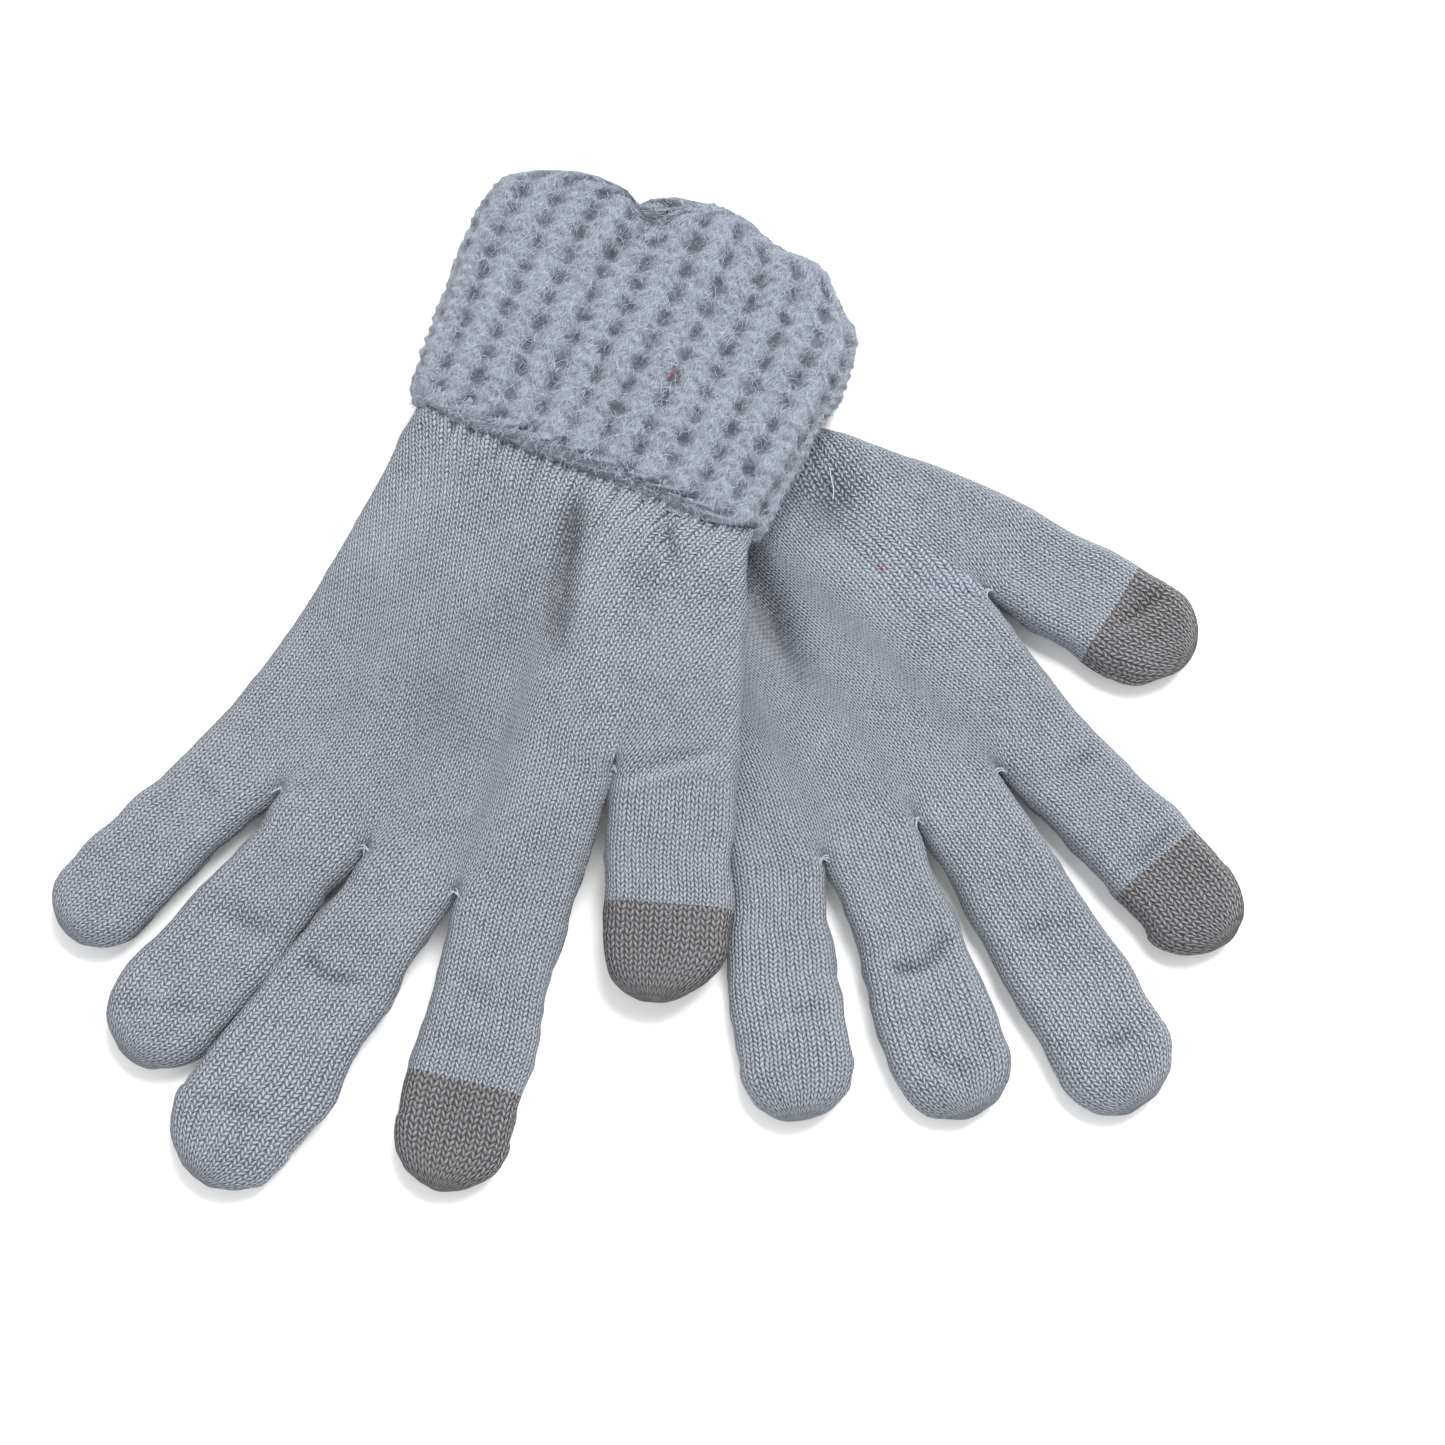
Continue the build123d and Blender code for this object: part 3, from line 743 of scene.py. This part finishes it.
def cuff_surface(glove, seed):
    """The chunky cuff as one skin: under the hem, up outside, over the mouth and down inside."""
    cuff = cuff_frame(glove)
    height, half = cuff["height"], cuff["half"]
    roll, droop = 0.85, 0.8  # radius of the rolled hem, and how much the hem is flattened
    fold, inner = 3.4, 4.1  # reach of the mouth's fold, and how far inside the lining lies
    tuck, lining = 7.0, 36.0  # how far the skin runs under the hem, and down inside
    span = cuff["right"].mean() - cuff["left"].mean()
    around = 2 * round(span / CUFF_STEP)
    lines = []
    for d in np.arange(tuck, 0.0, -0.9):
        lines.append((d, 2 * roll, -roll * math.pi - d))
    for a in np.linspace(math.pi, 0, 9)[:-1]:
        lines.append((-roll * math.sin(a), roll * (1 - math.cos(a)), -roll * a))
    for v in np.arange(0, height - fold, CUFF_STEP):
        lines.append((v, 0.0, v))
    base = lines[-1][2]
    for a in np.linspace(0, math.pi, 18)[1:]:
        lines.append((height - fold + fold * math.sin(a), inner / 2 * (1 - math.cos(a)), base + 3.0 * a))
    base = lines[-1][2]
    for d in np.arange(0.9, lining, 0.9):
        lines.append((height - fold - d, inner, base + d))
    share = np.linspace(0, 1, around // 2 + 1)
    rim = np.array(MOUTH[glove])
    hem_wave = noise_field(seed + 20, 26.0, 2)
    points, flow = [], np.array([line[2] for line in lines])
    for v, inset, _ in lines:
        lo = np.interp(v, cuff["stations"], cuff["left"])
        hi = np.interp(v, cuff["stations"], cuff["right"])
        w, mid = (hi - lo) / 2 - inset, (hi + lo) / 2
        h = half - inset - droop * (1 - smooth((v + roll) / 9.0))
        edge = min(h * 1.25, w)
        x = stadium(share, edge / w) * w
        z = h * np.sqrt(clamp(1 - clamp((np.abs(x) - (w - edge)) / edge) ** 2.1))
        x = np.concatenate([x, x[::-1][1:]])
        z = np.concatenate([z, -z[::-1][1:]])
        apart = ((mid + x) * 2 / span)[:, None] - rim[:, 0]
        beyond = (rim[:, 2] * np.exp(-((apart / rim[:, 1]) ** 2))).sum(1) * clamp(v / height) ** 3
        spots = np.stack([x, z, x * 0], -1)
        beyond = beyond + 0.5 * hem_wave(spots) * (1 - clamp(v / 25))
        row = cuff["origin"] + cuff["across"] * (mid + x)[:, None] + cuff["up"] * (v + beyond)[:, None]
        row[:, 2] += z
        points.append(row)
    points = np.array(points)
    points[:, -1] = points[:, 0]
    girth = np.linalg.norm(np.diff(points[40], axis=0), axis=1).sum()
    columns = round(girth / MESH_COLUMN)
    c = np.linspace(0, columns, around + 1) + 0.5
    surface = Surface()
    surface.grid(points, c[None, :], (flow / MESH_COURSE)[:, None], 0)
    verts, faces, uvs, _, first = surface.merged()
    cc, vv = np.meshgrid(c, flow)
    c_of, v_of = cc.reshape(-1)[first], vv.reshape(-1)[first]
    normals = vertex_normals(verts, faces)
    if (normals[:, 2] * (verts[:, 2] - cuff["origin"][2])).sum() < 0:
        faces, uvs, normals = faces[:, ::-1], uvs[:, ::-1], -normals
    relief, hollow_shade = cuff_relief(c_of, v_of / MESH_COURSE + 0.5, seed + 5)
    fade = smooth((v_of + 0.9) / 1.7)
    bent = np.exp(-(((v_of - height - 1.5) / 5.0) ** 4))
    relief = relief * (1 - 0.6 * bent)
    skin = 0.5 * noise_field(seed + 30, 22.0, 2)(verts) + 0.2 * noise_field(seed + 31, 2.6, 2)(verts)
    region = Region(cuff["origin"], cuff["up"], cuff["across"], height, span / 2)
    facing = smooth((normals[:, 2] + 0.1) / 0.5)
    dent = 0
    for a, b, width, depth in DENTS[glove]:
        dent = dent + crease(verts[:, :2], region.spot(a), region.spot(b), width, depth) * facing
    scallop = 0.35 * np.cos(4 * math.pi * c_of) + 0.22 * noise_field(seed + 32, 1.9, 2)(verts)
    rel_height = relief * fade + (1 - fade) * scallop
    inside = smooth((v_of - height) / 6.0)
    verts = verts + normals * (rel_height + skin * (1 - inside))[:, None]
    verts[:, 2] += dent * (1 - inside)
    verts[:, 2] = np.maximum(verts[:, 2], 0.03)
    # painted shade: the openings stay dark away from the hem, the dents darken the colour, and the rolled
    # hem gets a painted highlight
    hollow_shade = hollow_shade * fade * (1 - 0.5 * bent) - 0.1 * (1 - fade) - dent * (1 - inside) * 0.2
    return cuff, region, verts, faces, uvs, hollow_shade, v_of


def fibres(name, kind, verts, faces, normals, seed, grain=None, density=None):
    """Loose fibres lying over a surface, as narrow curved ribbons."""
    count, length, width, rise = FIBRES[kind]
    rng = np.random.default_rng(seed)
    corner = verts[faces]
    area = np.linalg.norm(np.cross(corner[:, 2] - corner[:, 0], corner[:, 3] - corner[:, 1]), axis=1)
    if density is not None:
        area = area * density[faces].mean(1)
    pick = rng.choice(len(faces), count, p=area / area.sum())
    weight = rng.dirichlet(np.ones(4), count)
    base = (corner[pick] * weight[..., None]).sum(1)
    n = unit((normals[faces[pick]] * weight[..., None]).sum(1))
    heading = rng.normal(size=(count, 3))
    if grain is not None:
        heading = 0.55 * heading + grain
    side = unit(np.cross(n, unit(heading)))
    along = unit(np.cross(side, n))
    size = rng.uniform(*length, count)[:, None]
    curl = rng.normal(0, 0.35, count)[:, None] * size
    lift = rng.uniform(0.15, 1.0, count)[:, None] * rise
    sections = []
    for t in (0.0, 0.3, 0.6, 0.85, 1.0):
        p = base + along * size * (t - 0.5) + side * curl * (t - t * t) * 2
        p = p + n * (lift * 4 * (t - t * t) + 0.03)
        thin = width * (1 - 0.8 * abs(2 * t - 1) ** 3) / 2
        sections.append((p - side * thin, p + side * thin))
    points = np.stack([q for pair in sections for q in pair], 1).reshape(-1, 3)
    points[:, 2] = np.maximum(points[:, 2], 0.05)
    start = np.arange(count)[:, None] * 10
    quads = [start + np.array([[2 * k, 2 * k + 1, 2 * k + 3, 2 * k + 2]]) for k in range(4)]
    return make_mesh(name, points, np.concatenate(quads))


def flat_tube(cuff, width, height, v0, v1, step, ripple=0.0, pitch=3.0):
    """A plain flattened tube round the wrist from v0 to v1 up the cuff."""
    share = np.linspace(0, 1, 2 * round(width / 0.8) + 1)
    x = stadium(share, height / width) * width / 2
    past_flat = clamp((np.abs(x) - (width - height) / 2) / (height / 2))
    z = height / 2 * np.sqrt(clamp(1 - past_flat**2))
    x, z = np.concatenate([x, x[::-1][1:]]), np.concatenate([z, -z[::-1][1:]])
    wave = 1 + ripple * np.cos(np.arange(len(x)) * 2 * math.pi * 0.8 / pitch)
    stations = np.arange(v0, v1 + step / 2, step)
    points = np.array([cuff["origin"] + cuff["across"] * x[:, None] + cuff["up"] * v for v in stations])
    points[..., 2] += (z * wave)[None]
    points[:, -1] = points[:, 0]
    surface = Surface()
    surface.grid(points, np.arange(len(x))[None] / 2.0, stations[:, None] / COURSE, 0)
    return surface.merged()[:3]


def tube(path, radius, sides=8):
    """A round yarn along a path, as points and quads."""
    path = np.asarray(path, float)
    tangent = unit(np.gradient(path, axis=0))
    side = unit(np.cross(tangent, [0.13, 0.21, 1.0]))
    over = np.cross(side, tangent)
    turn = np.linspace(0, 2 * math.pi, sides, endpoint=False)
    taper = np.sqrt(np.clip(1 - np.linspace(-1, 1, len(path)) ** 8, 0.02, 1))[:, None, None]
    ring = side[:, None] * np.cos(turn)[None, :, None] + over[:, None] * np.sin(turn)[None, :, None]
    points = path[:, None] + ring * radius * taper
    index = np.arange(len(path) * sides).reshape(len(path), sides)
    nxt = np.roll(index, -1, axis=1)
    quads = np.stack([index[:-1], nxt[:-1], nxt[1:], index[1:]], -1).reshape(-1, 4)
    return points.reshape(-1, 3), quads


def joined(parts):
    verts, faces, count = [], [], 0
    for points, quads in parts:
        verts.append(points)
        faces.append(quads + count)
        count += len(points)
    return np.concatenate(verts), np.concatenate(faces)


def stray_yarn(name, material, surface, region, place, reach, radius, body):
    """One loose fibre lying on top of a surface, at a place on a region."""
    t = np.linspace(-1, 1, 21)
    along = (region.along * reach[0] + region.across * reach[1])[:2]
    side = np.array([-along[1], along[0]])
    bow = 0.1 * (1 - t * t) + 0.03 * np.sin(5 * t)
    line = region.spot(place) + np.outer(t, along) + np.outer(bow, side)
    heights = [surface_height(*surface, q) for q in line]
    rise = np.convolve(np.pad(heights, 3, "edge"), np.ones(7) / 7, "valid") + 0.25 + radius
    points, quads = tube(np.column_stack([line, rise]), radius, 6)
    dress(make_mesh(name, points, quads), material, body, "fine_knit")


def surface_height(verts, normals, xy):
    """Height of a surface's upper side at a place in plan."""
    near = np.linalg.norm(verts[:, :2] - xy, axis=1) < 1.3
    near &= normals[:, 2] > 0.1
    return verts[near, 2].max() if near.any() else verts[:, 2].max()


# --- materials
class Graph:
    """A material with short helpers that write its node graph as formulas."""

    def __init__(self, name, sheen=0.25):
        self.material = bpy.data.materials.new(name)
        self.material.use_nodes = True
        self.nodes, self.links = self.material.node_tree.nodes, self.material.node_tree.links
        self.bsdf = self.nodes["Principled BSDF"]
        self.fill(self.bsdf, {"Roughness": 0.95, "Specular IOR Level": 0.1})
        self.fill(self.bsdf, {"Sheen Weight": sheen, "Sheen Roughness": 0.6})

    def put(self, socket, value):
        if hasattr(value, "links"):
            self.links.new(value, socket)
        elif isinstance(value, tuple):
            socket.default_value = (*value, 1.0)
        else:
            socket.default_value = value

    def fill(self, node, values):
        """Sets or links inputs of a node."""
        for key, value in values.items():
            self.put(node.inputs[key], value)

    def math(self, operation, *values, clamp=False):
        node = self.nodes.new("ShaderNodeMath")
        node.operation = operation
        node.use_clamp = clamp
        for socket, value in zip(node.inputs, values):
            self.put(socket, value)
        return node.outputs[0]

    def add(self, a, b):
        return self.math("ADD", a, b)

    def times(self, a, b):
        return self.math("MULTIPLY", a, b)

    def around(self, value, amount):
        """The value about one half, times an amount."""
        return self.times(self.math("SUBTRACT", value, 0.5), amount)

    def place(self, stretch=None, turn=0.0):
        """Object coordinates, stretched and turned about Z."""
        where = self.nodes.new("ShaderNodeTexCoord").outputs["Object"]
        if stretch is None:
            return where
        node = self.nodes.new("ShaderNodeMapping")
        node.inputs["Scale"].default_value = stretch
        node.inputs["Rotation"].default_value = (0, 0, math.radians(turn))
        self.links.new(where, node.inputs["Vector"])
        return node.outputs[0]

    def depth(self):
        """How deep the surface lies, as the mesh holds it; the materials darken their colour by it as
        painted shade.
        """
        node = self.nodes.new("ShaderNodeAttribute")
        node.attribute_name = "depth"
        return node.outputs["Fac"]

    def noise(self, vector, scale, detail=2.0, roughness=0.5, distortion=0.0):
        node = self.nodes.new("ShaderNodeTexNoise")
        self.fill(node, {"Vector": vector, "Scale": scale, "Detail": detail})
        self.fill(node, {"Roughness": roughness, "Distortion": distortion})
        return node.outputs["Fac"]

    def colour(self, factor, dark, light):
        node = self.nodes.new("ShaderNodeMix")
        node.data_type = "RGBA"
        self.fill(node, {0: factor, 6: dark, 7: light})
        self.links.new(node.outputs[2], self.bsdf.inputs["Base Color"])

    def bump(self, height, distance, strength):
        node = self.nodes.new("ShaderNodeBump")
        self.fill(node, {"Strength": strength, "Distance": distance, "Height": height})
        self.links.new(node.outputs["Normal"], self.bsdf.inputs["Normal"])


def knit_material(
    name, dark, light,
    scale=(1.0, 1.0), relief=0.0006, contrast=1.0, wander=1.0, fluff=1.0, bias=0.0,
):
    """Stockinette: two slanting legs to a stitch, with dark gaps between wales and courses that are
    painted shade.
    """
    g = Graph(name)
    uv = g.nodes.new("ShaderNodeUVMap")
    uv.uv_map = "stitch"
    split = g.nodes.new("ShaderNodeSeparateXYZ")
    g.links.new(uv.outputs["UV"], split.inputs[0])
    where = g.place()
    near, far = g.noise(where, 430.0), g.noise(where, 95.0)
    u = g.add(g.times(split.outputs["X"], scale[0]), g.around(near, 0.28 * wander))
    v = g.add(g.times(split.outputs["Y"], scale[1]), g.around(far, 0.9 * wander))
    v = g.add(v, g.around(near, 0.4 * wander))
    a = g.math("ABSOLUTE", g.math("SUBTRACT", g.math("FRACT", u), 0.5))
    y = g.math("FRACT", g.add(v, g.times(a, 1.7)))
    leg = g.math("DIVIDE", g.math("SUBTRACT", a, 0.24), 0.26)
    across = g.math("POWER", g.math("SUBTRACT", 1.0, g.times(leg, leg), clamp=True), 0.7)
    along = g.math("POWER", g.math("SINE", g.times(y, math.pi)), 0.65)
    height = g.times(across, g.add(0.22, g.times(along, 0.78)))
    fuzz = g.noise(where, 2400.0, 3.0, 0.65)
    hair = g.noise(g.place((1.0, 0.22, 1.0), 25), 1500.0, 2.0, 0.6)
    patch = g.noise(where, 170.0, 3.0, 0.6)
    crisp = g.add(0.62, g.times(g.noise(where, 75.0, 2.0, 0.5), 0.8))
    # painted shade: the colour follows the stitch height, so the low gaps between the legs are dark
    shade = g.add(g.times(g.around(height, 1.25 * contrast), crisp), g.around(fuzz, 0.9 * fluff))
    shade = g.add(shade, g.around(hair, 0.5 * fluff))
    shade = g.add(shade, g.around(patch, 0.4))
    shade = g.add(shade, g.around(g.noise(where, 48.0, 2.0, 0.6), 0.34))
    # painted shade from the mesh's depth attribute: darker in creases, gathers and hollows, lighter on
    # ridges
    shade = g.math("SUBTRACT", shade, g.times(g.depth(), 0.55))
    g.colour(g.math("ADD", shade, 0.5 - bias, clamp=True), dark, light)
    g.bump(g.add(height, g.times(fuzz, 0.35)), relief, 1.0)
    return g.material


def chunky_material(name, dark, light):
    """Brushed chunky knit: the yarn's fuzz over the relief that is in the mesh."""
    g = Graph(name, sheen=0.35)
    where = g.place()
    fuzz = g.noise(where, 1700.0, 4.0, 0.7)
    yarn = g.noise(where, 420.0, 3.0, 0.6)
    patch = g.noise(where, 130.0)
    swirl = g.noise(where, 560.0, 3.0, 0.6, 2.6)
    # painted shade from the mesh's depth attribute: darker in the openings, grooves and dents, lighter on
    # the strands and the rolled hem
    shade = g.math("SUBTRACT", 0.60, g.times(g.depth(), 0.52))
    shade = g.add(shade, g.around(fuzz, 0.7))
    shade = g.add(shade, g.around(yarn, 0.6))
    shade = g.add(shade, g.around(swirl, 0.8))
    g.colour(g.math("ADD", shade, g.around(patch, 0.3), clamp=True), dark, light)
    g.bump(g.add(g.add(yarn, g.times(fuzz, 0.6)), g.times(swirl, 0.8)), 0.0006, 0.9)
    return g.material


def plain_material(name, dark, light, scale=1500.0):
    g = Graph(name, sheen=0.15)
    where = g.place()
    g.colour(g.math("ADD", g.around(g.noise(where, scale, 3.0), 1.6), 0.5, clamp=True), dark, light)
    g.bump(g.noise(where, scale, 3.0), 0.0002, 0.6)
    return g.material


FINE = knit_material(
    "fine_knit", (0.038, 0.044, 0.058), (0.292, 0.324, 0.380),
    wander=1.6, contrast=1.5, fluff=1.6, bias=0.1,
)
TOUCH = knit_material(
    "touch_knit", (0.005, 0.0048, 0.006), (0.225, 0.213, 0.232),
    scale=(WALE / TIP_WALE, COURSE / TIP_COURSE), relief=0.0012,
    contrast=2.0, wander=1.6, fluff=1.5, bias=0.28,
)
CHUNKY = chunky_material("mesh_knit", (0.034, 0.041, 0.058), (0.285, 0.317, 0.38))
RIB = knit_material("rib_knit", (0.08, 0.09, 0.12), (0.36, 0.39, 0.45))
THREAD = plain_material("linking_thread", (0.19, 0.21, 0.25), (0.36, 0.39, 0.45))
RUBBER = plain_material("covered_elastic", (0.30, 0.32, 0.35), (0.52, 0.55, 0.60), 900.0)
FLUFF = plain_material("loose_fibre", (0.21, 0.235, 0.28), (0.40, 0.44, 0.51))
HAIR = plain_material("pale_fibre", (0.45, 0.48, 0.52), (0.60, 0.63, 0.67))
RED = plain_material("red_fibre", (0.22, 0.012, 0.03), (0.38, 0.03, 0.05))

# --- the two gloves
for glove, seed in (("lower", 11), ("upper", 31)):
    info = build_glove(glove, seed)
    hand = f"{glove}_hand"
    cuff, cuff_region, verts, faces, uvs, hollow_shade, course = cuff_surface(glove, seed)
    normals = vertex_normals(verts, faces)
    # the cuff's depth attribute carries its painted shade
    piece = make_mesh(f"{glove}_cuff_knit", verts, faces, uvs, normals, {"depth": hollow_shade})
    dress(piece, CHUNKY, hand, "mesh_knit", f"{glove}_cuff_turnback", f"{glove}_cuff_inner")
    outside = faces[(course[faces].max(1) < cuff["height"] + 7) & (course[faces].min(1) > -3.5)]
    sparse = np.clip(1.05 - hollow_shade, 0.1, 1.0)
    fluff = fibres(f"{glove}_cuff_fluff", "cuff", verts, outside, normals, seed, cuff["up"], sparse)
    dress(fluff, FLUFF, hand, "mesh_knit")
    rolled = faces[(course[faces].max(1) < 2.0) & (course[faces].min(1) > -3.5)]
    hem = fibres(f"{glove}_hem_fluff", "hem", verts, rolled, normals, seed + 2)
    dress(hem, FLUFF, hand, "mesh_knit")

    tube_parts = flat_tube(cuff, RIB_WIDTH, RIB_THICK, RIB_OUT, SEAM_START, 0.8, ripple=0.05)
    dress(make_mesh(f"{glove}_rib_knit", *tube_parts), RIB, hand, "rib_knit", f"{glove}_wrist_rib")
    rings = [flat_tube(cuff, RIB_WIDTH + 0.6, RIB_THICK + 0.6, v, v + 0.6, 0.3)[:2] for v in ELASTIC_RINGS]
    rubber = make_mesh(f"{glove}_elastic_thread", *joined(rings))
    dress(rubber, RUBBER, hand, "elastic", f"{glove}_wrist_elastic")
    points, quads, _ = flat_tube(cuff, RIB_WIDTH + 2.0, RIB_THICK + 0.8, SEAM_START, SEAM_END, 0.4)
    seam = make_mesh(f"{glove}_linking", points, quads)
    dress(seam, THREAD, hand, "linking_thread", f"{glove}_linking_seam")

    for name, part, place, reach, radius in STRAYS[glove]:
        on_cuff = part == "cuff"
        region = cuff_region if on_cuff else info["regions"][part]
        surface = (verts, normals) if on_cuff else info["surface"]
        material = RED if name == "red_fibre" else HAIR
        stray_yarn(f"{glove}_{name}", material, surface, region, place, reach, radius, hand)

    rng = np.random.default_rng(seed + 60)
    loops = []
    for crotch in info["crotches"]:
        z = surface_height(*info["surface"], crotch[:2])
        heading = unit(crotch[:2] - cuff["origin"][:2])
        cross = np.array([-heading[1], heading[0]])
        for _ in range(3):
            t = np.linspace(-1, 1, 15)
            width, reach = rng.uniform(1.3, 2.6), rng.uniform(1.6, 3.0)
            slide = rng.uniform(-0.8, 0.8)
            bow = reach * (1 - t * t) + 0.2
            line = crotch[:2] + cross * (slide + width * t)[:, None] - heading * bow[:, None]
            rise = z - 0.1 + 0.3 * (1 - t**2) - 0.5 * t**4
            loops.append(tube(np.column_stack([line, rise]), 0.17))
    stitches = make_mesh(f"{glove}_crotch_yarn", *joined(loops))
    dress(stitches, THREAD, hand, "linking_thread", f"{glove}_crotch_stitches")

# --- floor, camera, light
bpy.ops.mesh.primitive_plane_add(size=6.0, location=(0, 0, -0.0002))
floor = bpy.context.object
floor.name = "floor"
paper = Graph("floor", sheen=0.0)
paper.bsdf.inputs["Base Color"].default_value = (0.97, 0.97, 0.97, 1)
floor.data.materials.append(paper.material)

target = Vector((0.0154, -0.0107, 0.0))
elevation = math.radians(70)
distance = 0.6047  # the view is 311 mm wide at the target
camera = bpy.data.objects.new("camera", bpy.data.cameras.new("camera"))
scene.collection.objects.link(camera)
camera.data.lens = 70
camera.data.sensor_width = 36
camera.location = target + Vector((0, -math.cos(elevation), math.sin(elevation))) * distance
camera.rotation_euler = (math.radians(20), 0, 0)
scene.camera = camera


def area_light(name, place, size, power):
    light = bpy.data.objects.new(name, bpy.data.lights.new(name, "AREA"))
    light.data.shape = "RECTANGLE"
    light.data.size, light.data.size_y = size
    light.data.energy = power
    light.location = place
    light.rotation_euler = (-Vector(place)).to_track_quat("-Z", "Y").to_euler()
    scene.collection.objects.link(light)


area_light("key", (0.4, 0.55, 1.2), (0.8, 0.7), 31)
area_light("fill", (-0.3, -1.0, 0.9), (1.2, 1.0), 9)
world = bpy.data.worlds.new("studio")
scene.world = world
world.use_nodes = True
backdrop = world.node_tree.nodes["Background"].inputs
backdrop["Color"].default_value = (1, 1, 1, 1)
backdrop["Strength"].default_value = 0.64
scene.view_settings.view_transform = "Standard"
